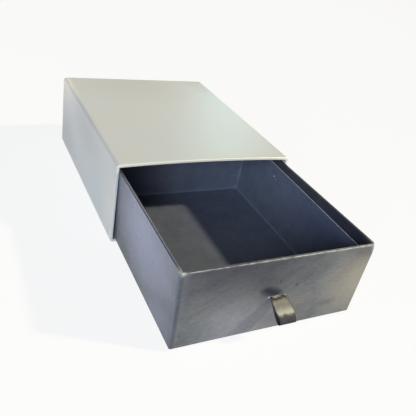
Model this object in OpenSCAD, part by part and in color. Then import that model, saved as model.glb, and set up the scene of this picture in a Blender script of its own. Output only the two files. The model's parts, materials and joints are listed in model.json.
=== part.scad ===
// Sliding drawer gift box: a wrapped greyboard sleeve, a lined tray that slides in it, and a ribbon pull.
// The origin is the middle of the sleeve's base. X runs to the right, Y to the closed back, Z up.

/* [Sleeve] */
// Outside width of the sleeve
sleeve_w = 152; // [100:1:240]
// Outside height of the sleeve at its closed back
sleeve_h = 69; // [54:1:120]
// Length of the sleeve from its mouth to its back
sleeve_l = 187; // [120:1:300]
// Thickness of the sleeve's greyboard
sleeve_board_t = 2; // [1.5:0.1:2.5]
// Outside radius of the four long bends
bend_r = 3; // [2.8:0.1:6]
// How far the middle of the top panel bows up at the mouth
crown = 1.7; // [0.5:0.1:4]
// Depth of the sleeve paper's fold into the mouth
sleeve_turn_in = 16; // [8:1:30]
// Width of the sleeve paper's flaps on the back
back_flap = 13; // [8:1:20]

/* [Tray] */
// How far the rim of each long wall stands out past its foot
rim_out = 1.3; // [0.2:0.1:4]
// Outside radius of the tray's upright corners
corner_r = 1.2; // [0.5:0.1:1.7]
// Thickness of the tray's greyboard
tray_board_t = 1.5; // [1:0.1:2]
// Depth of the tray paper's fold over the rim
tray_turn_in = 15; // [11:1:24]
// Bare band of folded paper above the lining, at the front
band_front = 9.7; // [3:0.1:10]
// Bare band of folded paper above the lining, at the back
band_back = 4.5; // [3:0.1:10]
// How far the tray is pulled out
pulled_out = 119.5; // [0:0.5:180]

/* [Paper] */
// Thickness of the covering papers
wrap_t = 0.2; // [0.12:0.01:0.3]
// Thickness of the lining papers
liner_t = 0.15; // [0.1:0.01:0.25]
// Thickness of the glued paper tapes, and of the glue beside them
film_t = 0.1; // [0.06:0.01:0.15]
// Width of the tape along the sleeve's joint
joint_tape_w = 22; // [12:1:40]
// Length of each leg of a corner tape
corner_tape_leg = 14; // [8:1:25]

/* [Ribbon pull] */
// Width of the ribbon
ribbon_w = 12.7; // [6:0.1:25]
// Thickness of the ribbon
ribbon_t = 0.35; // [0.25:0.05:0.5]
// Reach of the loop in front of the tray
loop_reach = 18.5; // [12:0.5:40]
// Half of the opening inside the loop, before its round end
loop_half = 3.4; // [2:0.1:6]
// How far the slit lies below the middle of the front wall
slit_drop = 1.3; // [-8:0.1:8]
// Offset of the slit to the right of the middle
slit_x = 1.6; // [-10:0.1:10]
// Length of each ribbon end glued inside the front wall
tail_l = 18; // [8:1:20]

/* [Running gaps] */
// Gap under the tray where it slides on the sleeve's lining
slide_gap = 0.25; // [0.2:0.05:0.4]
// Gap between the tray's rim and the lining on each side
side_gap = 0.25; // [0.2:0.05:1.5]
// Gap between the tray's rim and the lining above it
top_gap = 2.85; // [0.5:0.05:5]
// Gap behind the tray when its front is level with the mouth
back_gap = 3.4; // [0.5:0.1:8]

/* [Hidden] */

// One overrun for every cut
over = 1;
// Least radius of a sharp crease
crease_r = 0.3;
// Flat strip of the top panel between each bend and the bow
side_lap = 0.5;
// Gap at the butt joint of the bent board, and its place in from the right bend
seam_gap = 0.4;
seam_in = 24;
// Play of the slit round the ribbon, at its ends and at its faces
slit_end_play = 0.6;
slit_face_play = 0.3;
// Gap between the two strands in the slit, and play round the glued ends
strand_gap = 0.1;
tail_play = 0.1;
// Radius of the pinched ribbon where the loop swings, and its gap to the wall
pinch_r = 0.5;
pinch_gap = 0.1;
// Set-back of the sheets that end short of an edge
sheet_back = 1.5;
// The loop's droop: its slope at the wall, and how much steeper it is at its end
droop_share = 0.3;
sag_share = 0.12;
// How the loop swells towards its round end
swell_share = 1.5;

bow_steps = 16;
run_steps = 4;
loop_steps = 40;

mouth_y = -sleeve_l / 2;
back_y = sleeve_l / 2;
board_out = wrap_t;
board_in = board_out + sleeve_board_t;
liner_out = board_in + film_t;
liner_in = liner_out + liner_t;
tube_front = mouth_y + wrap_t;
tube_back = back_y - 2 * wrap_t;
fold_y = mouth_y + sleeve_turn_in;
back_board_y = tube_back - sleeve_board_t;
bow_side = sleeve_w / 2 - max(bend_r, liner_in + crease_r) - side_lap;
bow_places = concat(
    [-bow_side - side_lap],
    [for (i = [0 : bow_steps]) bow_side * (2 * i / bow_steps - 1)],
    [bow_side + side_lap]
);
seam_x = bow_side - seam_in;
tube_places = concat([tube_front], evenly(fold_y, tube_back));
wrap_places = concat([mouth_y], tube_places, [back_y - wrap_t]);

tray_y = mouth_y - pulled_out;
tray_z = liner_in + slide_gap;
tray_w = sleeve_w - 2 * (liner_in + side_gap + rim_out);
tray_h = sleeve_h - liner_in - top_gap - tray_z;
tray_l = back_board_y - liner_t - back_gap - mouth_y;
wall_out = wrap_t + film_t;
wall_in = wall_out + tray_board_t;
lining_out = wall_in + wrap_t;
lining_in = lining_out + liner_t;
floor_top = wall_out + tray_board_t;
lining_bottom = floor_top + liner_t;
board_top = tray_h - wrap_t;
slit_up = tray_h / 2 - slit_drop;
slit_h = 2 * ribbon_t + strand_gap + 2 * slit_face_play;
slit_w = ribbon_w + 2 * slit_end_play;
strand_end = wrap_t;
pinch_y = -pinch_r - pinch_gap;

// How far the top bows up at one place along the sleeve
function rise_at(y) = crown * max(0, tube_back - y) / (tube_back - mouth_y);

// The share of that rise at one place across the sleeve
function bow_share(x) = max(0, 1 - pow(x / bow_side, 2));

// Places along the sleeve, evenly spaced between two ends
function evenly(from_y, to_y) = [
    for (i = [0 : run_steps])
        from_y + (to_y - from_y) * i / run_steps
];

// A rectangle with true round corners, standing on Z = 0 and centred on X
module standing_plate(w, h, r) {
    translate([-w / 2 + r, 0]) square([w - 2 * r, h]);
    translate([-w / 2, r]) square([w, h - 2 * r]);
    for (x = [-w / 2 + r, w / 2 - r])
        for (z = [r, h - r])
            translate([x, z]) circle(r, $fn = 48);
}

// The sleeve's outline in the plane of the mouth, set in by a distance
module sleeve_outline(inset) {
    r = max(bend_r - inset, crease_r);
    translate([0, inset]) standing_plate(sleeve_w - 2 * inset, sleeve_h - 2 * inset, r);
}

// Stands an outline up across the sleeve, between two places along it
module across(from_y, to_y) {
    translate([0, to_y, 0])
        rotate([90, 0, 0])
            linear_extrude(to_y - from_y) children();
}

// The base, sides and bends of a layer between two insets, open where the top panel bows
module lower_shell(outer, inner, from_y, to_y) {
    across(from_y, to_y)
        difference() {
            sleeve_outline(outer);
            sleeve_outline(inner);
            translate([-bow_side, sleeve_h / 2]) square([2 * bow_side, sleeve_h]);
        }
}

// The triangles of a grid of points, where the point in row j and column i is numbered by its place
function grid_faces(rows, columns, first, row_step, column_step) = [
    for (j = [0 : rows - 2])
        for (i = [0 : columns - 2])
            for (half = [0, 1])
                let(
                    a = first + j * row_step + i * column_step,
                    b = a + column_step,
                    c = b + row_step,
                    d = a + row_step
                )
                half == 0 ? [a, b, c] : [a, c, d]
];

// The same triangles, facing the other way
function turned(faces) = [for (f = faces) [f[0], f[2], f[1]]];

// The bowed top panel of a layer between two insets, through a list of places along the sleeve
module bowed_top(outer, inner, places) {
    rows = len(places);
    columns = len(bow_places);
    lower = rows * columns;
    polyhedron(
        points = [
            for (inset = [outer, inner])
                for (y = places)
                    for (x = bow_places)
                        [x, y, sleeve_h - inset + rise_at(y) * bow_share(x)]
        ],
        faces = concat(
            turned(grid_faces(rows, columns, 0, columns, 1)),
            grid_faces(rows, columns, lower, columns, 1),
            turned(grid_faces(2, columns, 0, lower, 1)),
            grid_faces(2, columns, lower - columns, lower, 1),
            grid_faces(2, rows, 0, lower, columns),
            turned(grid_faces(2, rows, columns - 1, lower, columns))
        ),
        convexity = 6
    );
}

// A whole layer of the sleeve between two insets, through a list of places along it
module layer(outer, inner, places) {
    lower_shell(outer, inner, places[0], places[len(places) - 1]);
    bowed_top(outer, inner, places);
}

// A sheet across the inside or the back of the sleeve, set in from its outline
module cross_sheet(inset, y, thickness) {
    across(y, y + thickness) sleeve_outline(inset);
}

// A block between two corners
module block(low, high) {
    translate(low) cube(high - low);
}

// One board bent round the four long edges, its ends meeting in a butt joint under the tray
module sleeve_board() {
    color([0.57, 0.55, 0.51])
        difference() {
            layer(board_out, board_in, tube_places);
            translate([seam_x, mouth_y, 0]) cube([seam_gap, sleeve_l, board_in + over]);
        }
}

module sleeve_back_board() {
    color([0.6, 0.58, 0.54])
        cross_sheet(board_in, back_board_y, sleeve_board_t);
}

// Paper tape on the inside of the butt joint
module sleeve_joint_tape() {
    tape_x = seam_x + seam_gap / 2 - joint_tape_w / 2;
    color([0.78, 0.68, 0.5])
        block(
            [tape_x, fold_y + sheet_back, board_in],
            [tape_x + joint_tape_w, back_board_y - sheet_back, board_in + film_t]
        );
}

// One sheet round the board, turned into the mouth and over the back
module sleeve_wrap() {
    fold_in = board_in + wrap_t;
    color([0.81, 0.83, 0.8]) {
        layer(0, fold_in, [mouth_y, tube_front]);
        layer(0, board_out, wrap_places);
        layer(board_in, fold_in, [mouth_y, tube_front, fold_y]);
        across(tube_back, back_y - wrap_t)
            difference() {
                sleeve_outline(0);
                sleeve_outline(back_flap);
            }
    }
}

module sleeve_back_paper() {
    color([0.79, 0.81, 0.78])
        cross_sheet(sheet_back, back_y - wrap_t, wrap_t);
}

module sleeve_liner() {
    color([0.86, 0.86, 0.84])
        layer(liner_out, liner_in, evenly(fold_y, back_board_y));
}

module sleeve_back_liner() {
    color([0.84, 0.84, 0.82])
        cross_sheet(liner_in + film_t, back_board_y - liner_t, liner_t);
}

// Puts the tray's own frame, from its front bottom edge, where the tray is pulled out to
module place_tray() {
    translate([0, tray_y, tray_z]) children();
}

// The tray's plan at its base, set in by a distance
module tray_plan(inset) {
    r = max(corner_r - inset, 0);
    w = tray_w - 2 * inset;
    l = tray_l - 2 * inset;
    translate([-w / 2 + r, inset]) square([w - 2 * r, l]);
    translate([-w / 2, inset + r]) square([w, l - 2 * r]);
    if (r > 0)
        for (x = [-w / 2 + r, w / 2 - r])
            for (y = [inset + r, inset + l - r])
                translate([x, y]) circle(r, $fn = 32);
}

// How much wider the tray is at one height than at its base
function widening(z) = 1 + 2 * rim_out * z / (tray_h * tray_w);

// Stands a plan up between two heights of the tray, its long sides leaning out
module upright(low, high) {
    translate([0, 0, low])
        linear_extrude(
            high - low,
            slices = 1,
            segments = 1,
            scale = [widening(high) / widening(low), 1]
        )
            scale([widening(low), 1]) children();
}

// The plan of a band round the tray between two insets
module ring_plan(outer, inner) {
    difference() {
        tray_plan(outer);
        tray_plan(inner);
    }
}

// The part of a plan that lies between two places along the tray
module plan_between(from_y, to_y) {
    intersection() {
        children();
        translate([-tray_w, from_y]) square([2 * tray_w, to_y - from_y]);
    }
}

// The slit for the ribbon, right through the front wall
module slit_cut() {
    translate([slit_x - slit_w / 2, -over, slit_up - slit_h / 2])
        cube([slit_w, lining_in + 2 * over, slit_h]);
}

// The bed pressed into the front wall for the ribbon's glued ends
module tail_bed() {
    reach = strand_gap / 2 + tail_l + tail_play;
    block(
        [slit_x - ribbon_w / 2 - tail_play, wall_in - ribbon_t, slit_up - reach],
        [slit_x + ribbon_w / 2 + tail_play, wall_in + over, slit_up + reach]
    );
}

module tray_base_board() {
    color([0.56, 0.54, 0.5])
        place_tray()
            upright(wall_out, floor_top) tray_plan(wall_out);
}

module tray_front_board() {
    color([0.6, 0.57, 0.52])
        place_tray()
            difference() {
                upright(floor_top, board_top)
                    plan_between(wall_out, wall_in) tray_plan(wall_out);
                slit_cut();
                tail_bed();
            }
}

module tray_back_board() {
    color([0.6, 0.57, 0.52])
        place_tray()
            upright(floor_top, board_top)
                plan_between(tray_l - wall_in, tray_l - wall_out) tray_plan(wall_out);
}

module side_board(side) {
    place_tray()
        upright(floor_top, board_top)
            translate([side * (tray_w / 2 - wall_out - tray_board_t / 2) - tray_board_t / 2, wall_in])
                square([tray_board_t, tray_l - 2 * wall_in]);
}

module tray_left_board() {
    color([0.58, 0.56, 0.52]) side_board(-1);
}

module tray_right_board() {
    color([0.58, 0.56, 0.52]) side_board(1);
}

// Four strips of paper tape that hold the wall boards together at the corners
module tray_corner_tapes() {
    color([0.78, 0.68, 0.5])
        place_tray()
            upright(wall_out, board_top - sheet_back)
                intersection() {
                    ring_plan(wrap_t, wall_out);
                    for (x = [-tray_w / 2, tray_w / 2 - corner_tape_leg])
                        for (y = [0, tray_l - corner_tape_leg])
                            translate([x, y]) square(corner_tape_leg);
                }
}

// One sheet under the tray, up its walls, over the rim and down inside
module tray_wrap() {
    color([0.33, 0.33, 0.35])
        place_tray()
            difference() {
                union() {
                    upright(0, wrap_t) tray_plan(0);
                    upright(wrap_t, board_top) ring_plan(0, wrap_t);
                    upright(board_top, tray_h) ring_plan(0, lining_out);
                    upright(tray_h - tray_turn_in, board_top) ring_plan(wall_in, lining_out);
                }
                slit_cut();
            }
}

// The wedge over the lining's top edge, which is cut a little askew on the long walls
module over_lining() {
    translate([-tray_w, 0, 0])
        rotate([90, 0, 90])
            linear_extrude(2 * tray_w)
                polygon([
                    [-over, tray_h - band_front],
                    [lining_in, tray_h - band_front],
                    [tray_l - lining_in, tray_h - band_back],
                    [tray_l + over, tray_h - band_back],
                    [tray_l + over, tray_h + over],
                    [-over, tray_h + over]
                ]);
}

// The lining of the four walls, over the lower part of the folded paper
module tray_wall_liner() {
    color([0.13, 0.14, 0.2])
        place_tray()
            difference() {
                upright(lining_bottom, tray_h) ring_plan(lining_out, lining_in);
                over_lining();
            }
}

module tray_floor_liner() {
    color([0.15, 0.16, 0.22])
        place_tray()
            upright(floor_top, lining_bottom) tray_plan(wall_in);
}

// One half of the ribbon in the wall: a strand through the slit, and its end glued flat inside
module tail(side) {
    mirror([0, 0, side > 0 ? 0 : 1])
        translate([0, 0, strand_gap / 2]) {
            translate([-ribbon_w / 2, strand_end, 0])
                cube([ribbon_w, wall_in - strand_end, ribbon_t]);
            translate([-ribbon_w / 2, wall_in - ribbon_t, 0])
                cube([ribbon_w, ribbon_t, tail_l]);
        }
}

module ribbon_tails() {
    color([0.42, 0.39, 0.34])
        place_tray()
            translate([slit_x, 0, slit_up]) {
                tail(1);
                tail(-1);
            }
}

// Half of the height inside the loop at one turn, where 0 and 360 degrees are at the wall
function loop_swell(a) = loop_half * sin(a) * pow(sin(a / 2), swell_share);

// The middle line of the loop from the side, as reach from the pinch and height over it
function loop_point(a) =
    let(
        reach_share = sin(a / 2),
        reach = loop_reach * reach_share
    )
    [-reach, loop_swell(a) - reach * (droop_share + sag_share * reach_share)];

// A point on the loop's face, half a thickness inward or outward from the middle line
function loop_face(a, inward) =
    let(
        step = 1,
        run = loop_point(min(a + step, 360)) - loop_point(max(a - step, 0)),
        across = [-run[1], run[0]] / norm(run)
    )
    loop_point(a) + inward * ribbon_t / 2 * across;

module ribbon_loop() {
    turns = [for (i = [0 : loop_steps]) 360 * i / loop_steps];
    color([0.45, 0.42, 0.36])
        place_tray()
            translate([slit_x - ribbon_w / 2, pinch_y, slit_up])
                rotate([90, 0, 90])
                    linear_extrude(ribbon_w) {
                        circle(pinch_r, $fn = 32);
                        difference() {
                            polygon([for (a = turns) loop_face(a, -1)]);
                            polygon([
                                for (a = turns)
                                    if (abs(loop_swell(a)) > ribbon_t / 2)
                                        loop_face(a, 1)
                            ]);
                        }
                    }
}

sleeve_board();
sleeve_back_board();
sleeve_joint_tape();
sleeve_wrap();
sleeve_back_paper();
sleeve_liner();
sleeve_back_liner();
tray_base_board();
tray_front_board();
tray_back_board();
tray_left_board();
tray_right_board();
tray_corner_tapes();
tray_wrap();
tray_wall_liner();
tray_floor_liner();
ribbon_tails();
ribbon_loop();
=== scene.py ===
import json
import math

import bpy
import bmesh
from mathutils import Matrix, Vector


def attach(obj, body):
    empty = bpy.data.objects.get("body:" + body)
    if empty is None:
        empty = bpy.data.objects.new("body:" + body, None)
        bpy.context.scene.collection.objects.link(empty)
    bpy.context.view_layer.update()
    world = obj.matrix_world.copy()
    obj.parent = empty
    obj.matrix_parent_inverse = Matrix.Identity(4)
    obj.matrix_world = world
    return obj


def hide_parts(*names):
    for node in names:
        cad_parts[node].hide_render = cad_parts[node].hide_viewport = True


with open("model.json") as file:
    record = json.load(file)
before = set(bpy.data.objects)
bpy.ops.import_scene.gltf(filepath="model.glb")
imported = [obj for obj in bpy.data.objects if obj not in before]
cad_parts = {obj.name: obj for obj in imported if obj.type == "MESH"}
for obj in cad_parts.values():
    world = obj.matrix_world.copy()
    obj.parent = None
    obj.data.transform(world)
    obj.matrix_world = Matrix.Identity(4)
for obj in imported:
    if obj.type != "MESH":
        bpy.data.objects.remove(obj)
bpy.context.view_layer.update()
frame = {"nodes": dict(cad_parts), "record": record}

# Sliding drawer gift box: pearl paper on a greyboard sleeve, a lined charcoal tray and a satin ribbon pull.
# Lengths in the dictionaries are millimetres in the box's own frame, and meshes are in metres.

mm = 0.001


def linearColour(hexCode):
    # sRGB hex to the linear RGBA that a socket takes
    channels = [int(hexCode[i:i + 2], 16) / 255 for i in (1, 3, 5)]
    return [c / 12.92 if c <= 0.04045 else ((c + 0.055) / 1.055) ** 2.4 for c in channels] + [1.0]


def addNode(tree, kind, sockets=None, **settings):
    # A socket takes a plain value, another node's output, or a node, which stands for its first output
    node = tree.nodes.new("ShaderNode" + kind)
    for name, value in settings.items():
        setattr(node, name, value)
    for key, value in (sockets or {}).items():
        if isinstance(value, bpy.types.Node):
            value = value.outputs[0]
        if isinstance(value, bpy.types.NodeSocket):
            tree.links.new(value, node.inputs[key])
        else:
            node.inputs[key].default_value = value
    return node


def addObject(name, data):
    made = bpy.data.objects.new(name, data)
    bpy.context.scene.collection.objects.link(made)
    return made


print("camera")

# The photograph's camera: its place in millimetres, its two directions, and its focal length in image pixels
cameraSettings = dict(
    place=(-181.91, -406.78, 240.83),
    forward=(0.44399, 0.73706, -0.50952),
    right=(0.89226, -0.41582, 0.17599),
    focalPixels=504.61, imagePixels=416, sensorWidth=36, clipMetres=(0.01, 20),
)


def addCamera(c):
    forward = Vector(c["forward"]).normalized()
    right = Vector(c["right"])
    right = (right - forward * right.dot(forward)).normalized()
    up = right.cross(forward)
    data = bpy.data.cameras.new("camera")
    data.sensor_width = c["sensorWidth"]
    data.lens = c["sensorWidth"] * c["focalPixels"] / c["imagePixels"]
    data.clip_start, data.clip_end = c["clipMetres"]
    camera = addObject("camera", data)
    turn = Matrix((right, up, -forward)).transposed().to_4x4()
    camera.matrix_world = Matrix.Translation(Vector(c["place"]) * mm) @ turn
    bpy.context.scene.camera = camera


addCamera(cameraSettings)


print("materials")

# In a look, a pattern is a noise. Its blobs are about sizeMm across, and a larger stretch makes them shorter
# along that axis. Each of its ranges gives a share: while the noise goes from the first number to the second,
# the share goes from the third to the fourth. A spot is a centre, the half sizes round it and its share.


def patternAt(tree, place, p):
    # The noise, and after it the share for each of its ranges
    turn, stretch = p.get("turn", (0, 0, 0)), p.get("stretch", (1, 1, 1))
    turned = addNode(tree, "Mapping", {"Vector": place, "Rotation": [math.radians(d) for d in turn]})
    scaled = addNode(tree, "Mapping", {"Vector": turned, "Scale": [s / (p["sizeMm"] * mm) for s in stretch]})
    sockets = {"Vector": scaled, "Scale": 1.0, "Detail": p["detail"], "Roughness": p.get("rough", 0.5)}
    made = [addNode(tree, "TexNoise", sockets)]
    for limits in p.get("ranges", ()):
        span = dict(zip(("From Min", "From Max", "To Min", "To Max"), limits))
        made.append(addNode(tree, "MapRange", {"Value": made[0], **span}))
    return made


def spotAt(tree, place, centre, half):
    # 1 at a point of the box, and softly down to 0 at the half sizes round it
    centre, half = [[v * mm for v in values] for values in (centre, half)]
    sockets = {"Vector": place, "Location": centre, "Scale": half}
    moved = addNode(tree, "Mapping", sockets, vector_type="TEXTURE")
    ball = addNode(tree, "TexGradient", {"Vector": moved}, gradient_type="SPHERICAL")
    fade = {"Value": ball.outputs["Fac"], "From Max": 1.0}
    return addNode(tree, "MapRange", fade, interpolation_type="SMOOTHSTEP")


def spotsAt(tree, place, spots):
    # The strongest of several spots
    strongest = None
    for centre, half, share in spots:
        spot = addNode(tree, "Math", {0: spotAt(tree, place, centre, half), 1: share}, operation="MULTIPLY")
        if strongest:
            spot = addNode(tree, "Math", {0: strongest, 1: spot}, operation="MAXIMUM")
        strongest = spot
    return strongest


def layColours(tree, colour, layers):
    # Each layer is a share and the colour that it lays over those below, as a hex value or an output
    for share, over in layers:
        below, above = [linearColour(c) if isinstance(c, str) else c for c in (colour, over)]
        colour = addNode(tree, "Mix", {0: share, 6: below, 7: above}, data_type="RGBA").outputs[2]
    return colour


def startMaterial(name, look):
    material = bpy.data.materials.new(name)
    material.use_nodes = True
    tree = material.node_tree
    shader = tree.nodes["Principled BSDF"]
    shader.inputs["Roughness"].default_value = look["roughness"]
    shader.inputs["IOR"].default_value = look["ior"]
    place = addNode(tree, "TexCoord").outputs["Object"]
    return material, tree, shader, place


def dressShader(tree, shader, colour, relief):
    # The relief's layers are (height, depth in millimetres), and the last one drives the shader
    tree.links.new(colour, shader.inputs["Base Color"])
    normal = None
    for height, depthMm in relief:
        sockets = {"Height": height, "Strength": 1.0, "Distance": depthMm * mm}
        if normal:
            sockets["Normal"] = normal
        normal = addNode(tree, "Bump", sockets)
    tree.links.new(normal.outputs[0], shader.inputs["Normal"])


# Pearl paper: mica in a pale warm-grey coating, calendered. A satin sheen that drifts slowly over the panel.
pearlPaperLook = dict(
    base="#c6c7c3", cool="#c4c7c4", warm="#c8c7c1", fold="#e0e2da", light="#ece3d2", dim="#b4b2ab",
    roughness=0.36, ior=1.5, metallic=0.12,
    drift=dict(sizeMm=80, detail=1.0, ranges=[(0.35, 0.65, 0.0, 1.0)]),
    fibre=dict(sizeMm=0.9, detail=3.0, depthMm=0.004, ranges=[(0.3, 0.7, 0.0, 0.25)]),
    wave=dict(sizeMm=45, detail=1.0, depthMm=0.05),
    # Painted reflection in soft lighter places on the left panel, and painted shade in dimmer places on the
    # left panel and over the top's back
    reflectionSpots=[((-76, 88, 70), (8, 70, 34), 1.0), ((-76, -90, 20), (5, 40, 50), 0.4)],
    shadeSpots=[
        ((-76, -5, 55), (6, 70, 30), 0.7),
        ((-76, 74, 16), (6, 60, 30), 0.7),
        ((-10, 90, 69), (90, 90, 9), 0.45),
        ((80, 96, 69), (46, 60, 12), 0.9),
    ],
)


def pearlPaper(look):
    material, tree, shader, place = startMaterial("pearlPaper", look)
    shader.inputs["Metallic"].default_value = look["metallic"]
    _, drift = patternAt(tree, place, look["drift"])
    fibre, fibreShare = patternAt(tree, place, look["fibre"])
    [wave] = patternAt(tree, place, look["wave"])
    colour = layColours(tree, look["cool"], [
        (drift, look["warm"]),
        (fibreShare, look["base"]),
        # Painted shade, then painted reflection, over the drifting coating
        (spotsAt(tree, place, look["shadeSpots"]), look["dim"]),
        (spotsAt(tree, place, look["reflectionSpots"]), look["light"]),
        # On the sleeve, this mark is a painted highlight along the mouth's rim
        (addNode(tree, "Attribute", attribute_name="wearAndHighlight").outputs["Fac"], look["fold"]),
    ])
    dressShader(tree, shader, colour, [(wave, look["wave"]["depthMm"]), (fibre, look["fibre"]["depthMm"])])
    return material


# Charcoal paper: dyed stock with a fine grain under a thin film lamination. Dark, and silvery where the light
# grazes it.
charcoalPaperLook = dict(
    base="#45484a", pale="#626466", dark="#0c0a20", cool="#8b8fa6", warm="#8e8878", paleWearAndHighlight="#cfccc4",
    roughness=0.47, ior=1.48, tint="#f2f4ff",
    cloud=dict(sizeMm=26, detail=2.0, ranges=[(0.35, 0.65, 0.0, 0.5)]),
    streak=dict(sizeMm=9, detail=3.0, rough=0.55, stretch=(0.35, 0.8, 1.0), turn=(0, 24, 0),
                ranges=[(0.35, 0.7, 0.0, 0.5)]),
    # The grain's first share is for the mottle and its second for the silvery places
    grain=dict(sizeMm=1.1, detail=2.0, rough=0.6, stretch=(0.3, 0.5, 1.3), depthMm=0.012,
               ranges=[(0.3, 0.7, -0.32, 0.32), (0.3, 0.7, 0.74, 1.0)]),
    wave=dict(sizeMm=20, detail=1.5, stretch=(0.6, 1.0, 1.0), depthMm=0.12),
    scuff=dict(sizeMm=5, detail=2.0, rough=0.6, stretch=(1, 3, 3), ranges=[(0.36, 0.62, 0.25, 1.0)]),
    # Silvery places are painted reflection, cool on the left and warm on the right, and smoother, and the
    # dull ones are darkened
    coolAtX=-70, warmAtX=50,
    silveryReflection=[
        ((-73, -152, 48), (12, 88, 56), 1.0),
        ((-73, -190, 14), (8, 60, 40), 0.45),
        ((-26, -213, 10), (44, 4, 36), 0.45),
        ((10, -213, 22), (34, 4, 24), 0.25),
        ((76, -213, 33), (52, 6, 46), 0.88),
    ],
    # Dull places are rougher and darker: painted shade high on the front wall and low on the left wall, and
    # two small dark marks low on the front
    dullShadeAndMarks=[
        ((-30, -213, 62), (100, 5, 44), 0.85),
        ((66, -213, 62), (30, 5, 14), 0.45),
        ((-73, -216, 8), (10, 40, 36), 0.4),
        ((46, -213, 17), (12, 5, 5.5), 0.5),
        ((-67, -213, 13.5), (3, 5, 3), 0.4),
    ],
    dullShare=0.8, reflectionSmooths=0.2, dullRoughens=0.18, mottleSmooths=0.06,
    # Paper drawn in over the slit and creased beside it, pressed in as a shallow dent and darkened there as
    # painted shade
    pressed=[
        ((-9.2, -213, 38.6), (10.5, 4, 6.6), 1.0),
        ((-5.8, -213, 37.0), (10.5, 4, 6.6), 1.0),
        ((-2.3, -213, 35.4), (9.5, 4, 5.6), 1.0),
        ((-0.8, -213, 45), (1.5, 3, 4.4), 0.7),
        ((13.5, -213, 39.5), (2.8, 3, 3), 0.65),
    ],
    pressedDepthMm=0.4,
    # The front right corner, scuffed where it was knocked
    knocked=[((72.6, -213.0, 60.5), (2.2, 2.0, 5.0), 0.75)],
)


def charcoalPaper(look):
    material, tree, shader, place = startMaterial("charcoalPaper", look)
    shader.inputs["Specular Tint"].default_value = linearColour(look["tint"])
    _, cloud = patternAt(tree, place, look["cloud"])
    _, streak = patternAt(tree, place, look["streak"])
    grain, grainMottle, grainSilver = patternAt(tree, place, look["grain"])
    [wave] = patternAt(tree, place, look["wave"])
    _, scuff = patternAt(tree, place, look["scuff"])
    silveryReflection, dullShadeAndMarks, pressed, knocked = [
        spotsAt(tree, place, look[key]) for key in ("silveryReflection", "dullShadeAndMarks", "pressed", "knocked")]
    mottle = addNode(tree, "Math", {0: cloud, 1: streak}, operation="ADD")
    mottle = addNode(tree, "Math", {0: mottle, 1: grainMottle}, operation="ADD")

    across = addNode(tree, "SeparateXYZ", {0: place})
    warmth = {"Value": across, "From Min": look["coolAtX"] * mm, "From Max": look["warmAtX"] * mm}
    silver = layColours(tree, look["cool"], [(addNode(tree, "MapRange", warmth), look["warm"])])
    silverShare = addNode(tree, "Math", {0: silveryReflection, 1: grainSilver}, operation="MULTIPLY")

    shaded = addNode(tree, "Attribute", attribute_name="shaded").outputs["Fac"]
    darker = addNode(tree, "Math", {0: pressed, 1: shaded}, operation="MAXIMUM")
    dullShare = addNode(tree, "Math", {0: dullShadeAndMarks, 1: look["dullShare"]}, operation="MULTIPLY")
    darker = addNode(tree, "Math", {0: dullShare, 1: darker}, operation="MAXIMUM")

    # Worn pale places, with a painted highlight along the right rim's outer edge
    wearAndHighlight = addNode(tree, "Attribute", attribute_name="wearAndHighlight").outputs["Fac"]
    paleWearAndHighlight = addNode(tree, "Math", {0: wearAndHighlight, 1: scuff}, operation="MULTIPLY")
    paleWearAndHighlight = addNode(tree, "Math", {0: paleWearAndHighlight, 1: knocked}, operation="MAXIMUM")
    colour = layColours(tree, look["base"], [
        (mottle, look["pale"]),
        (silverShare, silver),
        (darker, look["dark"]),
        (paleWearAndHighlight, look["paleWearAndHighlight"]),
    ])

    rough = look["roughness"]
    changes = [-look["reflectionSmooths"], look["dullRoughens"], -look["mottleSmooths"]]
    for mask, change in zip((silveryReflection, dullShadeAndMarks, mottle), changes):
        rough = addNode(tree, "Math", {0: mask, 1: change, 2: rough}, operation="MULTIPLY_ADD")
    tree.links.new(rough.outputs[0], shader.inputs["Roughness"])
    dressShader(tree, shader, colour, [
        (pressed, -look["pressedDepthMm"]),
        (wave, look["wave"]["depthMm"]),
        (grain, look["grain"]["depthMm"]),
    ])
    return material


# Navy lining paper: dyed through and machine finished. Half matt, nearly even, paler along its creases as a
# painted highlight.
navyPaperLook = dict(
    base="#565c6a", pale="#676c7a", edge="#c9c7cc", crease="#6a7080", deep="#0d1d44",
    roughness=0.68, ior=1.4,
    patch=dict(sizeMm=11, detail=4.0, rough=0.6, ranges=[(0.3, 0.7, 0.0, 0.7)]),
    fibre=dict(sizeMm=0.8, detail=3.0, depthMm=0.02),
    wave=dict(sizeMm=25, detail=1.0, depthMm=0.05),
    # Painted shade: deeper navy at the back's left end and at the front of the right wall
    deeperShade=[((-58, -36, 24), (60, 40, 50), 1.0), ((72, -178, 44), (10, 90, 36), 0.5)],
    # A painted highlight where the creases meet in the back right corner, and two pale specks near the right
    # wall's top
    creaseCornerHighlight=[((70.0, -33.5, 5.0), (9, 9, 9), 0.7)],
    specks=[((70.7, -87.2, 47.4), (1.4, 1.4, 1.4), 1.0), ((70.7, -90.5, 46.0), (0.7, 0.7, 0.7), 1.0)],
)


def navyPaper(look):
    material, tree, shader, place = startMaterial("navyPaper", look)
    _, patch = patternAt(tree, place, look["patch"])
    [fibre] = patternAt(tree, place, look["fibre"])
    [wave] = patternAt(tree, place, look["wave"])
    creaseHighlight, paleWearAndHighlight = [
        addNode(tree, "Math", {
            0: addNode(tree, "Attribute", attribute_name=mark).outputs["Fac"],
            1: spotsAt(tree, place, look[spots]),
        }, operation="MAXIMUM")
        for mark, spots in (("creaseHighlight", "creaseCornerHighlight"), ("wearAndHighlight", "specks"))]
    colour = layColours(tree, look["base"], [
        (patch, look["pale"]),
        (spotsAt(tree, place, look["deeperShade"]), look["deep"]),
        (creaseHighlight, look["crease"]),
        (paleWearAndHighlight, look["edge"]),
    ])
    dressShader(tree, shader, colour, [(wave, look["wave"]["depthMm"]), (fibre, look["fibre"]["depthMm"])])
    return material
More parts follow.
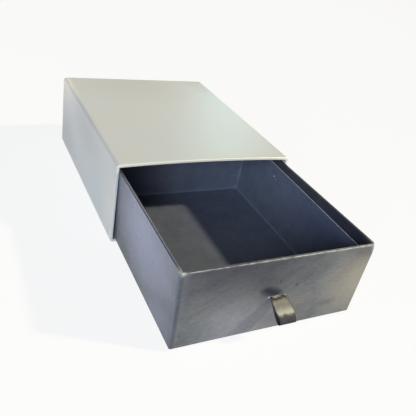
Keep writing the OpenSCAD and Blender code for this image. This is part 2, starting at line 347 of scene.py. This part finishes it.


# Satin ribbon: woven polyester, warp floats along its length. Creamy with a painted highlight where it bends
# over, and dark with painted shade by the slit and on the curl. Its warp is drawn coarser than the real one,
# so that it shows.
satinRibbonLook = dict(
    roughness=0.6, ior=1.3,
    warpMm=0.42, warpDepthMm=0.02, warpColour="#4a4540", warpShare=0.12,
    # The blotches shift the colours along by up to 1.2 mm, and darken them a little
    blotch=dict(sizeMm=5.5, detail=2.0, ranges=[(0.3, 0.7, -1.2, 1.2), (0.35, 0.65, 0.0, 0.2)]),
    # Colours along the loop, by millimetres from the slit over the top: painted shade by the slit, a painted
    # highlight before the curl, and painted shade on the curl
    along=[
        (0, "#aca994"), (0.6, "#3a3830"), (1.9, "#24231d"), (3.6, "#7c766d"), (7.0, "#817b72"),
        (9.6, "#a6a393"), (11.9, "#b6b4a4"), (14.0, "#5c5856"), (15.4, "#22222e"), (22, "#1b1b26"),
        (40, "#46413f"),
    ],
)


def satinRibbon(look):
    material, tree, shader, place = startMaterial("satinRibbon", look)
    alongMm, acrossMm = [
        addNode(tree, "Attribute", attribute_name=mark).outputs["Fac"] for mark in ("alongMm", "acrossMm")]
    _, shift, blotch = patternAt(tree, place, look["blotch"])
    length = look["along"][-1][0]
    along = addNode(tree, "Math", {0: alongMm, 1: shift}, operation="ADD")
    # The ramp paints the highlight and shade along the loop
    ramp = addNode(tree, "ValToRGB", {0: addNode(tree, "Math", {0: along, 1: length}, operation="DIVIDE")})
    stops = ramp.color_ramp.elements
    for n, (at, hexCode) in enumerate(look["along"]):
        stop = stops[n] if n < 2 else stops.new(at / length)
        stop.position, stop.color = at / length, linearColour(hexCode)
    warp = addNode(tree, "Math", {0: acrossMm, 1: 2 * math.pi / look["warpMm"]}, operation="MULTIPLY")
    warp = addNode(tree, "Math", {0: warp}, operation="SINE")
    warpShare = addNode(tree, "MapRange", {"Value": warp, "From Min": -1.0, "To Max": look["warpShare"]})
    share = addNode(tree, "Math", {0: warpShare, 1: blotch}, operation="ADD")
    colour = layColours(tree, ramp.outputs[0], [(share, look["warpColour"])])
    dressShader(tree, shader, colour, [(warp, look["warpDepthMm"])])
    return material


# Plain lining paper, uncoated and matt.
sleeveLiningLook = dict(
    base="#d8d8d3", shade="#cbcbc6", roughness=0.8, ior=1.5,
    fibre=dict(sizeMm=0.6, detail=4.0, rough=0.6, depthMm=0.01, ranges=[(0.4, 0.65, 0.0, 1.0)]),
)

# Greyboard: pressed waste fibre, unbleached. Matt, speckled with darker fibres.
greyboardLook = dict(
    base="#8f8a80", shade="#6f6a61", roughness=0.9, ior=1.5,
    fibre=dict(sizeMm=0.8, detail=4.0, rough=0.6, depthMm=0.03, ranges=[(0.4, 0.65, 0.0, 1.0)]),
)

# Gummed kraft tape: unbleached long-fibre paper, matt with a faint grain along the strip.
kraftTapeLook = dict(
    base="#b7996b", shade="#a2845a", roughness=0.75, ior=1.5,
    fibre=dict(sizeMm=0.7, detail=4.0, rough=0.6, depthMm=0.015, ranges=[(0.4, 0.65, 0.0, 1.0)]),
)


def plainPaper(name, look):
    material, tree, shader, place = startMaterial(name, look)
    fibre, fibreShare = patternAt(tree, place, look["fibre"])
    colour = layColours(tree, look["base"], [(fibreShare, look["shade"])])
    dressShader(tree, shader, colour, [(fibre, look["fibre"]["depthMm"])])
    return material


materials = {
    "pearl_paper": pearlPaper(pearlPaperLook),
    "charcoal_paper": charcoalPaper(charcoalPaperLook),
    "navy_lining_paper": navyPaper(navyPaperLook),
    "satin_ribbon": satinRibbon(satinRibbonLook),
    "sleeve_lining_paper": plainPaper("sleeveLiningPaper", sleeveLiningLook),
    "greyboard": plainPaper("greyboard", greyboardLook),
    "kraft_tape": plainPaper("kraftTape", kraftTapeLook),
}
for part in frame["record"]["subparts"]:
    slots = frame["nodes"][part["node"]].data.materials
    slots.clear()
    slots.append(materials[part["material_slot"]])


def evenPlaces(low, high, steps):
    return [low + (high - low) * i / steps for i in range(steps + 1)]


def quarterTurn(step):
    # Angles from nothing to a right angle, in radians, with the step in degrees
    return [math.radians(d) for d in range(0, 91, step)]


def near(value, middle, reach):
    # 1 at the middle, and softly down to about a third at the reach
    return math.exp(-((value - middle) / reach) ** 2)


def pieceFromRows(name, rows, loop=False, keep=None, marks=None):
    # rows are lists of equally many points in millimetres, and loop joins each row's ends. keep(j, i) says
    # whether the face after row j and column i is made. marks holds a value for each point, by name.
    columns = len(rows[0])
    points = [Vector(p) * mm for row in rows for p in row]
    faces = []
    for j in range(len(rows) - 1):
        for i in range(columns if loop else columns - 1):
            if keep and not keep(j, i):
                continue
            n = (i + 1) % columns
            faces.append((j * columns + i, j * columns + n, (j + 1) * columns + n, (j + 1) * columns + i))
    mesh = bpy.data.meshes.new(name)
    mesh.from_pydata(points, [], faces)
    for mark, values in (marks or {}).items():
        flat = [v for row in values for v in row]
        mesh.attributes.new(mark, "FLOAT", "POINT").data.foreach_set("value", flat)
    mesh.update()
    piece = addObject(name, mesh)
    mesh.shade_smooth()
    return piece


def closeRing(piece, ring):
    # One face over the points with these numbers
    made = bmesh.new()
    made.from_mesh(piece.data)
    made.verts.ensure_lookup_table()
    made.faces.new([made.verts[i] for i in ring])
    made.to_mesh(piece.data)
    made.free()


def finishPiece(piece, body, slot, *nodes, thickness=None):
    piece.data.materials.append(materials[slot])
    if thickness:
        solid = piece.modifiers.new("paper", "SOLIDIFY")
        solid.thickness, solid.offset = thickness * mm, -1
    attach(piece, body)
    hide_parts(*nodes)
    return piece


print("sleeve")

sleeve = dict(
    width=152, height=69, length=187, bend=3.0, crown=1.7, board=2.0, paper=0.2, paperDrawn=0.15,
    turnIn=16, flap=13, flapRows=(6, 2.5), edgeRound=0.55, bowGap=0.5, leastBend=0.05,
    bendSteps=10, flatSteps=28, lengthSteps=40, turnInSteps=8, backTurnStep=18, mouthTurnStep=15,
    # The mouth's rim has a painted highlight, most on its outer half, less past the left place and more past
    # the right
    rubbedReach=0.3, rubbedOuter=0.4, rubbedInner=0.22, outerHalf=1.2,
    rubbedLeft=(-74, 0.3), rubbedRight=(70, 1.3),
)


def sleeveRise(s, x, y):
    # The top panel bows up towards the mouth
    half = s["width"] / 2 - s["bend"] - s["bowGap"]
    back = s["length"] / 2 - 2 * s["paper"]
    along = max(0.0, back - y) / (back + s["length"] / 2)
    return s["crown"] * along * max(0.0, 1 - (x / half) ** 2)


def sleeveRow(s, inset, y):
    # One turn round the sleeve, seen from the mouth: up the right side, over, down the left, along the base
    w, h, r = s["width"] / 2, s["height"], s["bend"]
    bends = [(w - r, r, -90), (w - r, h - r, 0), (-w + r, h - r, 90), (-w + r, r, 180)]

    def onBend(n, degrees):
        x, z, start = bends[n]
        angle = math.radians(start + degrees)
        return x + (r - inset) * math.cos(angle), y, z + (r - inset) * math.sin(angle)

    row = []
    for n in range(4):
        row += [onBend(n, degrees) for degrees in evenPlaces(0, 90, s["bendSteps"])]
        (fromX, _, fromZ), (toX, _, toZ) = row[-1], onBend((n + 1) % 4, 0)
        for share in evenPlaces(0, 1, s["flatSteps"])[1:-1]:
            x, z = fromX + (toX - fromX) * share, fromZ + (toZ - fromZ) * share
            row.append((x, y, z + (sleeveRise(s, x, y) if n == 1 else 0.0)))
    return row


def flapRow(s, inset, y):
    # On the flat back the rows draw in to a plain rectangle
    w, low, high = s["width"] / 2 - inset, inset, s["height"] - inset
    outer = sleeveRow(s, s["bend"] - s["leastBend"], y)
    return [(max(-w, min(w, x)), y, max(low, min(high, z))) for x, _, z in outer]


def makeSleeveWrap(s):
    # From the flap on the back, over the edge, along the outside, round the mouth and in to the fold's end
    mouth, back, r = -s["length"] / 2, s["length"] / 2 - s["paper"], s["edgeRound"]
    inner = s["board"] + 2 * s["paper"]
    path = [(back, inset) for inset in (s["flap"], *s["flapRows"])]
    path += [(back - r + r * math.cos(a), r - r * math.sin(a)) for a in quarterTurn(s["backTurnStep"])]
    path += [(y, 0.0) for y in evenPlaces(back - r, mouth + r, s["lengthSteps"])[1:-1]]
    turn = quarterTurn(s["mouthTurnStep"])
    path += [(mouth + r - r * math.sin(a), r - r * math.cos(a)) for a in turn]
    path += [(mouth + r - r * math.cos(a), inner - r + r * math.sin(a)) for a in turn]
    path += [(y, inner) for y in evenPlaces(mouth + r, mouth + s["turnIn"], s["turnInSteps"])[1:]]
    (leftX, leftShare), (rightX, rightShare) = s["rubbedLeft"], s["rubbedRight"]
    rows, wearAndHighlight = [], []
    for y, inset in path:
        makeRow = sleeveRow if inset <= s["bend"] - s["leastBend"] else flapRow
        rows.append(makeRow(s, inset, y))
        # A painted highlight along the mouth's rim
        paleWearAndHighlight = s["rubbedOuter"] if inset < s["outerHalf"] else s["rubbedInner"]
        if y > mouth + s["rubbedReach"]:
            paleWearAndHighlight = 0.0
        shares = [leftShare if x < leftX else rightShare if x > rightX else 1.0 for x, _, _ in rows[-1]]
        wearAndHighlight.append([paleWearAndHighlight * share for share in shares])
    piece = pieceFromRows("sleeveWrap", rows, loop=True, marks={"wearAndHighlight": wearAndHighlight})
    finishPiece(piece, "sleeve", "pearl_paper", "sleeve_wrap", thickness=s["paperDrawn"])


makeSleeveWrap(sleeve)


print("tray")

tray = dict(
    footWidth=144.0, rimOut=1.3, height=61.0, length=181.05, front=-213.0, under=2.7, rimCornerX=72.6,
    corner=1.2, innerCorner=0.35, leastCorner=0.05, foot=1.0, rimRound=0.5, rimWidth=2.0, fold=15.0,
    slitUp=29.2, slitX=1.6, slitWide=13.9, slitHigh=1.4, slitDeep=1.7,
    # The crushed tip of the rim's front right corner: its reach along the front, along the side and down, the
    # boards' set-back, and the places on the side that it needs
    crushed=(2.4, 3.0, 5.8), crushedIn=0.5, crushedPlaces=(2, 2.8, 3.6),
    # Columns across the front: beside the corners, and evenly between them and the slit
    leftColumns=[-70], evenX=(-68, 66), rightColumns=[68, 69, 70], slitGaps=(0.5, 2), evenSteps=(14, 6, 12),
    # Rows up the wall: evenly below and above the slit, and closer under the rim
    wallSteps=(9, 7, 6), closeFrom=(7, 6), foldSteps=4, footTurnStep=15, rimTurnStep=18,
    cornerSteps=6, sideSteps=30, sideFrom=5,
)

# Tolerances in millimetres: points that are one, that touch, and that are close
merged = 0.001
touching = 0.01
close = 0.1


def trayWiden(t, z):
    # The walls lean out evenly, so that the rim is wider than the foot
    return 1 + 2 * t["rimOut"] * z / (t["height"] * t["footWidth"])


def trayRow(t, inset, z, corner, xs):
    # One turn round the tray at a height: the front from the left, the right side, the back, the left side
    half, low, high = t["footWidth"] / 2 - inset, inset, t["length"] - inset
    c = max(corner, t["leastCorner"])
    turns = [math.radians(d) for d in evenPlaces(0, 90, t["cornerSteps"])[1:-1]]
    rightPlaces = [low + c] + [low + y for y in t["crushedPlaces"]]
    rightPlaces += evenPlaces(low + t["sideFrom"], high - c, t["sideSteps"])
    row = [(x, low) for x in [-half + c] + xs + [half - c]]
    row += [(half - c + c * math.sin(a), low + c - c * math.cos(a)) for a in turns]
    row += [(half, y) for y in rightPlaces]
    row += [(half - c + c * math.cos(a), high - c + c * math.sin(a)) for a in turns]
    row += [(x, high) for x in [half - c] + xs[::-1] + [-half + c]]
    row += [(-half + c - c * math.sin(a), high - c + c * math.cos(a)) for a in turns]
    row += [(-half, y) for y in evenPlaces(high - c, low + c, t["sideSteps"])]
    row += [(-half + c - c * math.cos(a), low + c - c * math.sin(a)) for a in turns]
    return [(x * trayWiden(t, z), t["front"] + y, t["under"] + z) for x, y in row]


def crushPlane(t, inside=0.0):
    # A point and the direction of the slanted plane that the corner is crushed to
    along, side, down = t["crushed"]
    corner = Vector((t["footWidth"] / 2 + t["rimOut"], t["front"], t["under"] + t["height"]))
    direction = Vector((1 / along, -1 / side, 1 / down)).normalized()
    return corner - Vector((along, 0, 0)) - direction * inside, direction


def crushTip(t, row):
    start, direction = crushPlane(t)
    return [tuple(Vector(p) - direction * max(0.0, (Vector(p) - start).dot(direction))) for p in row]


def clipBoard(t, name, node, slot):
    # What lies under the crushed paper loses its tip
    start, direction = crushPlane(t, t["crushedIn"])
    made = bmesh.new()
    made.from_mesh(frame["nodes"][node].data)
    bmesh.ops.remove_doubles(made, verts=made.verts, dist=merged * mm)
    everything = made.verts[:] + made.edges[:] + made.faces[:]
    bmesh.ops.bisect_plane(made, geom=everything, plane_co=start * mm, plane_no=direction, clear_outer=True)
    bmesh.ops.holes_fill(made, edges=[e for e in made.edges if e.is_boundary])
    mesh = bpy.data.meshes.new(name)
    made.to_mesh(mesh)
    made.free()
    finishPiece(addObject(name, mesh), "drawer", slot, node)


def slitEdges(t):
    wide, high = t["slitWide"] / 2, t["slitHigh"] / 2
    return t["slitX"] - wide, t["slitX"] + wide, t["slitUp"] - high, t["slitUp"] + high


def wrapColumns(t):
    slitLeft, slitRight, _, _ = slitEdges(t)
    gap, wideGap = t["slitGaps"]
    leftSteps, slitSteps, rightSteps = t["evenSteps"]
    xs = t["leftColumns"] + evenPlaces(t["evenX"][0], slitLeft - wideGap, leftSteps) + [slitLeft - gap]
    xs += evenPlaces(slitLeft, slitRight, slitSteps) + [slitRight + gap]
    return xs + evenPlaces(slitRight + wideGap, t["evenX"][1], rightSteps) + t["rightColumns"]


def wrapPath(t):
    # From under the base, up the wall, over the rim and down inside to the fold's edge, as (inset, height)
    h, r, f, w = t["height"], t["rimRound"], t["foot"], t["rimWidth"]
    _, _, slitLow, slitHigh = slitEdges(t)
    gap, wideGap = t["slitGaps"]
    lowSteps, highSteps, closeSteps = t["wallSteps"]
    footTurn, rimTurn = quarterTurn(t["footTurnStep"]), quarterTurn(t["rimTurnStep"])
    path = [(f - f * math.sin(a), f - f * math.cos(a)) for a in footTurn]
    path += [(0.0, z) for z in evenPlaces(f, slitLow - wideGap, lowSteps)[1:] + [slitLow - gap]]
    slitRow = len(path)
    path += [(0.0, z) for z in (slitLow, slitHigh, slitHigh + gap)]
    path += [(0.0, z) for z in evenPlaces(slitHigh + wideGap, h - t["closeFrom"][0], highSteps)]
    path += [(0.0, z) for z in evenPlaces(h - t["closeFrom"][1], h - r, closeSteps)]
    path += [(r - r * math.cos(a), h - r + r * math.sin(a)) for a in rimTurn[1:]]
    path += [(w / 2, h)]
    path += [(w - r + r * math.sin(a), h - r + r * math.cos(a)) for a in rimTurn]
    path += [(w, z) for z in evenPlaces(h - r, h - t["fold"], t["foldSteps"])[1:]]
    return path, slitRow


# How pale the tray's wrap is worn, with a painted highlight along the right rim's outer edge: shares, with
# reaches and places in millimetres
trayWornAndLit = dict(
    rimReach=0.45, foldReach=0.3, outerFold=0.1, innerFoldShare=0.7, flatRight=0.4,
    frontLeft=0.6, frontRight=0.9, sideShare=0.8, sideReach=6,
    corner=0.9, cornerReach=2.2, cornerDownLeft=0.8, cornerDownRight=1.6,
    rightEdgeHighlight=0.3, rightEdgeDown=0.7, rightEdgeReach=0.5,
    leftStrip=0.13, leftStripReach=0.3, leftStripGap=8,
    slitLip=0.8, slitLipLeft=0.7,
)

# How dark the wrap stays: painted shade on the rim's flat and at the left front edge, and on the fold inside
# the right wall a darker turn-in with painted shade towards the front.
# Each of the rim's pairs is how far down the dark reaches and how far in it starts.
trayShading = dict(
    rimLeft=(0.45, 0.02), rimRight=(0.3, 0.3), frontShare=0.8, cornerReach=5, mostStrip=0.05,
    fold=0.55, foldFront=0.35, foldReach=50, foldX=60,
    edge=0.55, edgeRound=0.2, edgeX=-69.5, edgeDown=3, edgeDeep=1.0, edgeFlat=0.3,
)

def toRimCorner(t, x, forward):
    # How far a point is from the nearer front corner, seen from above
    return math.hypot(abs(x) - t["rimCornerX"], forward)


def leftStripAt(t, wornAndLit, x, forward, inset, z):
    # The left rim has a paler strip between two edges darkened as painted shade
    if x >= 0 or forward <= t["rimWidth"] or z <= t["height"] - close:
        return 0.0
    strip = wornAndLit["leftStrip"] * near(inset, t["rimWidth"] / 2, wornAndLit["leftStripReach"])
    return strip * (1 - near(toRimCorner(t, x, forward), 0, wornAndLit["leftStripGap"]))


def wornAndLitAt(t, wornAndLit, x, forward, inset, z):
    # Pale along the front rim, more to the right, and at the front corners, with a painted highlight along
    # the right rim's outer edge
    h, w, across = t["height"], t["rimWidth"], x / t["footWidth"] + 0.5
    outer = near(inset, wornAndLit["outerFold"], wornAndLit["foldReach"])
    inner = wornAndLit["innerFoldShare"] * near(inset, w, wornAndLit["foldReach"])
    rim = max(outer, inner, wornAndLit["flatRight"] * across) * near(z, h, wornAndLit["rimReach"])
    if forward < w + close:
        rim *= wornAndLit["frontLeft"] + (wornAndLit["frontRight"] - wornAndLit["frontLeft"]) * across
    else:
        rim *= wornAndLit["sideShare"] * near(toRimCorner(t, x, forward), 0, wornAndLit["sideReach"])
    down = (z - h) / wornAndLit["cornerDownRight" if x > 0 else "cornerDownLeft"]
    corner = wornAndLit["corner"] * near(math.hypot(toRimCorner(t, x, forward), down), 0, wornAndLit["cornerReach"])
    # A painted highlight along the right rim's outer edge
    rightEdgeHighlight = 0.0
    if x > 0 and forward > w and inset < 2 * close:
        rightEdgeHighlight = wornAndLit["rightEdgeHighlight"] * near(z, h - wornAndLit["rightEdgeDown"], wornAndLit["rightEdgeReach"])
    strip = leftStripAt(t, wornAndLit, x, forward, inset, z)
    return min(1.0, max(strip or rim, corner, rightEdgeHighlight))


def shadedAt(t, wornAndLit, dark, x, forward, inset, z):
    # Painted shade on the rim's flat, on the fold inside the right wall and at the left front edge
    h, w = t["height"], t["rimWidth"]
    down, start = dark["rimRight" if x > 0 else "rimLeft"]
    if z > h - down and start < inset < w - close:
        if leftStripAt(t, wornAndLit, x, forward, inset, z) > dark["mostStrip"]:
            return 0.0
        if forward > w:
            return 1.0 - near(toRimCorner(t, x, forward), 0, dark["cornerReach"])
        return dark["frontShare"] * (0.5 - x / t["footWidth"])
    if inset > w - close and x > dark["foldX"]:
        return dark["fold"] + dark["foldFront"] * near(forward, 0, dark["foldReach"])
    if inset < touching and x < dark["edgeX"] and z < h - dark["edgeDown"] and forward < dark["edgeDeep"]:
        return dark["edge"] if forward < dark["edgeFlat"] else dark["edgeRound"]
    return 0.0


def makeTrayWrap(t, wornAndLit, dark):
    xs = wrapColumns(t)
    path, slitRow = wrapPath(t)
    slitLeft, slitRight, slitLow, slitHigh = slitEdges(t)
    rows, wearAndHighlight, shaded = [], [], []
    for n, (inset, z) in enumerate(path):
        corner = t["corner"] - inset if inset <= t["corner"] - t["innerCorner"] else t["innerCorner"]
        rows.append(crushTip(t, trayRow(t, inset, z, corner, xs)))
        places = [(x, y - t["front"], inset, z) for x, y, _ in rows[-1]]
        wearAndHighlight.append([wornAndLitAt(t, wornAndLit, *place) for place in places])
        shaded.append([shadedAt(t, wornAndLit, dark, *place) for place in places])
        for i, (x, forward, _, _) in enumerate(places):
            # The slit's upper lip is paler
            if n == slitRow + 1 and forward < touching and slitLeft - wornAndLit["slitLipLeft"] < x < slitRight:
                wearAndHighlight[n][i] = wornAndLit["slitLip"]
    frontXs = [x for x, _, _ in rows[0][:len(xs) + 2]]
    slitColumns = [i for i, x in enumerate(frontXs) if slitLeft - touching <= x < slitRight - touching]

    def keepFace(j, i):
        return not (j == slitRow and i in slitColumns)

    piece = pieceFromRows("trayWrap", rows, loop=True, keep=keepFace, marks={"wearAndHighlight": wearAndHighlight, "shaded": shaded})
    closeRing(piece, reversed(range(len(rows[0]))))
    openSlit(piece, t, slitLow, slitHigh)
    finishPiece(piece, "drawer", "charcoal_paper", "tray_wrap")


def openSlit(piece, t, low, high):
    # The slit's walls, most of the board's thickness deep
    made = bmesh.new()
    made.from_mesh(piece.data)

    def onSlit(v):
        onFront = abs(v.co.y - t["front"] * mm) < touching * mm
        return onFront and (low - close) * mm < v.co.z - t["under"] * mm < (high + close) * mm

    edges = [e for e in made.edges if e.is_boundary and all(onSlit(v) for v in e.verts)]
    pulled = bmesh.ops.extrude_edge_only(made, edges=edges)
    for v in pulled["geom"]:
        if isinstance(v, bmesh.types.BMVert):
            v.co.y += t["slitDeep"] * mm
    made.to_mesh(piece.data)
    made.free()


lining = dict(
    inset=2.15, bandFront=9.7, bandBack=4.5, floorUp=1.95, creaseRound=1.8, cornerRound=1.6,
    acrossX=66, acrossSteps=30, wallSteps=14, creaseTurnStep=15, ringDown=8,
    # The cut edge's rows, as the share of the way down the wall and how pale each is
    edgeRows=[(0.0, 0.8), (0.005, 0.8), (0.011, 0.0)], edgeTop=0.6,
    # How strong the painted highlight is along the floor crease and near the corners
    creasePale=0.7, cornerPale=0.6, cornerReach=1.3,
)


def makeLining(t, cut):
    # Down the walls from the cut edge, round the foot of the walls and over the floor
    xs = evenPlaces(-cut["acrossX"], cut["acrossX"], cut["acrossSteps"])
    h, inset, crease = t["height"], cut["inset"], cut["creaseRound"]
    ringHeight = h - cut["ringDown"]
    rows, wearAndHighlight, creaseHighlight = [], [], []

    def wallPlace(y, share):
        # The cut edge rises towards the back. A share of 1 is where the crease starts.
        along = (y - t["front"] - inset) / (t["length"] - 2 * inset)
        top = h - cut["bandFront"] + (cut["bandFront"] - cut["bandBack"]) * min(1.0, max(0.0, along))
        return top + (cut["floorUp"] + crease - top) * share

    def addWallRow(ringInset, share, pale):
        ring = trayRow(t, ringInset, ringHeight, cut["cornerRound"], xs)
        farX = max(x for x, _, _ in ring)
        lowY, highY = t["front"] + ringInset, t["front"] + t["length"] - ringInset
        line, folds = [], []
        for x, y, _ in ring:
            up = wallPlace(y, share)
            line.append((x / trayWiden(t, ringHeight) * trayWiden(t, up), y, t["under"] + up))
            # A painted highlight on the creases near the corners
            toCorner = farX - abs(x) + min(y - lowY, highY - y)
            folds.append(min(1.0, cut["cornerPale"] * near(toCorner, 0, cut["cornerReach"])))
        rows.append(line)
        wearAndHighlight.append([pale] * len(line))
        creaseHighlight.append(folds)

    addWallRow(t["rimWidth"], 0.0, cut["edgeTop"])
    for share, pale in cut["edgeRows"]:
        addWallRow(inset, share, pale)
    for share in evenPlaces(0, 1, cut["wallSteps"])[1:]:
        addWallRow(inset, share, 0.0)
    for a in quarterTurn(cut["creaseTurnStep"])[1:]:
        inward, down = crease - crease * math.cos(a), crease - crease * math.sin(a)
        rows.append(trayRow(t, inset + inward, cut["floorUp"] + down, cut["cornerRound"], xs))
        wearAndHighlight.append([0.0] * len(rows[0]))
        # A painted highlight along the middle of the floor crease's rounding
        creaseHighlight.append([cut["creasePale"] * math.sin(2 * a) ** 2] * len(rows[0]))
    piece = pieceFromRows("trayLining", rows, loop=True, marks={"wearAndHighlight": wearAndHighlight, "creaseHighlight": creaseHighlight})
    count = len(rows[0])
    closeRing(piece, range((len(rows) - 1) * count, len(rows) * count))
    finishPiece(piece, "drawer", "navy_lining_paper", "tray_wall_liner", "tray_floor_liner")


clipBoard(tray, "trayFrontBoard", "tray_front_board", "greyboard")
clipBoard(tray, "trayRightBoard", "tray_right_board", "greyboard")
clipBoard(tray, "trayCornerTapes", "tray_corner_tapes", "kraft_tape")
makeTrayWrap(tray, trayWornAndLit, trayShading)
makeLining(tray, lining)


print("ribbon")

ribbon = dict(
    width=12.7, thick=0.35, thickDrawn=0.3, across=12, steps=6,
    # The loop starts a little left of the slit's middle and drifts left on its way out
    shiftLeft=0.6, skew=0.02,
    # The slit pinches it, less on the left than on the right
    pinch=(0.05, 0.2), pinchReach=6,
    # The upper strand dips a little where it leaves the slit
    dent=0.35, dentOut=1.8, dentReach=0.9,
    # The loop from the slit out over the top, round and back, as (out, up) from the slit
    loop=[
        (0.5, 0.25), (1.9, 0.05), (3.6, -1.1), (6.0, -2.2), (9.0, -3.0), (11.9, -3.8), (14.2, -4.8),
        (15.9, -6.2), (16.7, -7.8), (16.4, -9.0), (14.9, -9.5), (12.6, -8.8), (9.7, -6.9), (6.4, -4.5),
        (3.0, -2.1), (0.5, -0.25),
    ],
    # A tail from the slit in through the board and along the wall, as (in, away from the strands' gap)
    tail=18.0, through=1.5, strandGap=0.1,
    tailPath=[(0.2, 0.0), (0.8, 0.0), (1.3, 0.0), (1.6, 0.1), (1.63, 0.5), (1.63, 4), (1.63, 10)],
)


def smoothThrough(points, steps):
    # A Catmull-Rom curve through the points
    padded = [points[0]] + points + [points[-1]]

    def blend(t, a, b, c, d):
        square, cube = 2 * a - 5 * b + 4 * c - d, 3 * b - a - 3 * c + d
        return 0.5 * (2 * b + (c - a) * t + square * t ** 2 + cube * t ** 3)

    made = []
    for i in range(1, len(padded) - 2):
        for share in evenPlaces(0, 1, steps)[:-1]:
            made.append(tuple(blend(share, *values) for values in zip(*padded[i - 1:i + 3])))
    return made + [points[-1]]


def makeRibbonPiece(name, r, rows, lengths, body, node):
    # Each point's place on the ribbon is marked, for its material
    across = evenPlaces(0, r["width"], r["across"])
    marks = {"alongMm": [[run] * len(across) for run in lengths], "acrossMm": [across] * len(lengths)}
    piece = pieceFromRows(name, rows, marks=marks)
    finishPiece(piece, body, "satin_ribbon", node, thickness=r["thickDrawn"])
    piece.modifiers["paper"].offset = 0


def makeRibbonLoop(r, t):
    slitZ = t["under"] + t["slitUp"]
    curve = smoothThrough(r["loop"], r["steps"])
    lengths = [0.0]
    for before, after in zip(curve, curve[1:]):
        lengths.append(lengths[-1] + math.dist(before, after))
    rows = []
    for n, (out, up) in enumerate(curve):
        dip = r["dent"] * near(out, r["dentOut"], r["dentReach"]) if n < len(curve) / 2 else 0.0
        middle = t["slitX"] - r["shiftLeft"] - r["skew"] * out
        row = []
        for side in evenPlaces(-1, 1, r["across"]):
            half = r["width"] / 2 * (1 - r["pinch"][side > 0] * near(out, 0, r["pinchReach"]))
            row.append((middle + side * half, t["front"] - out, slitZ + up - dip * (1 - side ** 2)))
        rows.append(row)
    makeRibbonPiece("ribbonLoop", r, rows, lengths, "pull", "ribbon_loop")


def makeRibbonTails(r, t):
    # Two strands through the slit, each end glued flat up or down the inside of the wall
    left, slitZ = t["slitX"] - r["width"] / 2, t["under"] + t["slitUp"]
    off = r["strandGap"] / 2 + r["thick"] / 2
    path = [(deep, off + away) for deep, away in r["tailPath"]] + [(r["tailPath"][-1][0], r["tail"])]
    xs = [left + x for x in evenPlaces(0, r["width"], r["across"])]
    for name, side in (("ribbonTailUp", 1), ("ribbonTailDown", -1)):
        rows = [[(x, t["front"] + deep, slitZ + side * away) for x in xs] for deep, away in path]
        lengths = [deep + away for deep, away in path]
        makeRibbonPiece(name, r, rows, lengths, "drawer", "ribbon_tails")


makeRibbonLoop(ribbon, tray)
makeRibbonTails(ribbon, tray)


print("stage")

# The stage's own sizes are metres
stage = dict(
    floorSize=6.0, floorColour="#e6e6e4", floorRoughness=0.9, whiteShare=0.87,
    sky="#dfe5ee", skyStrength=0.05, white=(1, 1, 1, 1),
)
lamps = [
    dict(name="keyLight", kind="SUN", towards=(0.69, -0.36, 0.60), strength=3.2, angle=3.2, colour="#fff3d2"),
    dict(name="frontLeftFill", kind="AREA", place=(-1.05, -1.4, 0.70), aim=(0, -0.1, 0.03),
         watts=31, size=0.8, colour="#d8e8fd"),
    dict(name="leftLowFill", kind="AREA", place=(-1.7, -0.3, 0.3), aim=(0, -0.1, 0.03),
         watts=2, size=0.5, colour="#e8e4ff"),
    dict(name="backRightGlow", kind="AREA", place=(1.02, 1.52, 0.70), aim=(0, -0.05, 0.06),
         watts=1.4, size=0.35, colour="#b0e6ee"),
    dict(name="rightLowGlow", kind="AREA", place=(0.40, -0.62, 0.16), aim=(0.05, -0.2, 0.03),
         watts=0.7, size=0.25, colour="#ffe0a0"),
]


def seenRays(tree):
    # 1 for what the camera sees straight, in a gloss or through a clear piece, and 0 for other light
    rays = addNode(tree, "LightPath")
    seen = rays.outputs["Is Camera Ray"]
    for kind in ("Is Glossy Ray", "Is Transmission Ray"):
        seen = addNode(tree, "Math", {0: seen, 1: rays.outputs[kind]}, operation="ADD")
    return seen


def addFloor(s):
    mesh = bpy.data.meshes.new("floor")
    half = s["floorSize"] / 2
    corners = [(-half, -half, 0), (half, -half, 0), (half, half, 0), (-half, half, 0)]
    mesh.from_pydata(corners, [], [(0, 1, 2, 3)])
    floor = addObject("floor", mesh)
    material = bpy.data.materials.new("studioFloor")
    material.use_nodes = True
    tree = material.node_tree
    shader = tree.nodes["Principled BSDF"]
    shader.inputs["Base Color"].default_value = linearColour(s["floorColour"])
    shader.inputs["Roughness"].default_value = s["floorRoughness"]
    shader.inputs["Specular IOR Level"].default_value = 0.0
    white = addNode(tree, "Emission", {"Color": s["white"], "Strength": 1.0})
    seen = addNode(tree, "Math", {0: seenRays(tree), 1: s["whiteShare"]}, operation="MULTIPLY")
    mixed = addNode(tree, "MixShader", {0: seen, 1: shader, 2: white})
    tree.links.new(mixed.outputs[0], tree.nodes["Material Output"].inputs["Surface"])
    mesh.materials.append(material)


def addWorld(s):
    world = bpy.data.worlds.new("studio")
    bpy.context.scene.world = world
    world.use_nodes = True
    tree = world.node_tree
    sky = tree.nodes["Background"]
    sky.inputs["Color"].default_value = linearColour(s["sky"])
    sky.inputs["Strength"].default_value = s["skyStrength"]
    white = addNode(tree, "Background", {"Color": s["white"], "Strength": 1.0})
    mixed = addNode(tree, "MixShader", {0: seenRays(tree), 1: sky, 2: white})
    tree.links.new(mixed.outputs[0], tree.nodes["World Output"].inputs["Surface"])


def addLamp(look):
    data = bpy.data.lights.new(look["name"], look["kind"])
    data.color = linearColour(look["colour"])[:3]
    lamp = addObject(look["name"], data)
    if look["kind"] == "SUN":
        data.energy, data.angle = look["strength"], math.radians(look["angle"])
        aim = -Vector(look["towards"])
    else:
        data.energy, data.size = look["watts"], look["size"]
        lamp.location = look["place"]
        aim = Vector(look["aim"]) - Vector(look["place"])
    lamp.rotation_mode = "QUATERNION"
    lamp.rotation_quaternion = aim.to_track_quat("-Z", "Y")


addFloor(stage)
addWorld(stage)
for lampSettings in lamps:
    addLamp(lampSettings)
bpy.context.scene.view_settings.view_transform = "Standard"
